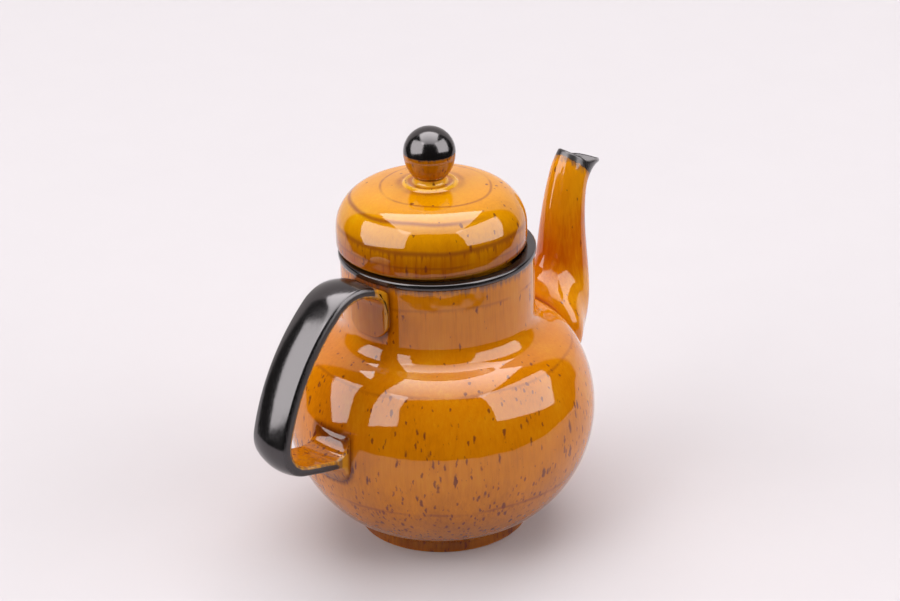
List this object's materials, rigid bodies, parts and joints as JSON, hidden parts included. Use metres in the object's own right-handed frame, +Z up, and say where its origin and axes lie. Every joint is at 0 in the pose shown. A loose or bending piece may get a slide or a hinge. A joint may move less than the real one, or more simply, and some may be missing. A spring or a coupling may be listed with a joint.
{
  "type": "teapot",
  "caption": "Round-bellied glazed teapot with a straight neck, curved beaked spout, flat strap handle and a loose domed lid with a ball knob that lifts off.",
  "frame": {"origin": "on the pot's axis, in the plane of the foot ring", "axes": "+Z up along the pot's axis, +X towards the spout, -X towards the handle"},
  "size_m": [0.2333, 0.15, 0.2039],
  "materials": {
    "pot_glaze": "gloss honey glaze with dark specks",
    "spout_glaze": "gloss honey glaze, black at the lip",
    "handle_glaze": "gloss black glaze, honey on the inside",
    "lid_glaze": "gloss honey glaze",
    "knob_glaze": "gloss black glaze over honey"
  },
  "bodies": {
    "pot": {"pot_body": "pot_glaze", "spout": "spout_glaze", "handle": "handle_glaze"},
    "lid": {"lid": "lid_glaze", "lid_knob": "knob_glaze"}
  },
  "joints": [
    {"name": "lid_lift", "type": "slide", "parent": "pot", "child": "lid", "axis": [0, 0, 1], "range_m": [0, 0.06]}
  ]
}
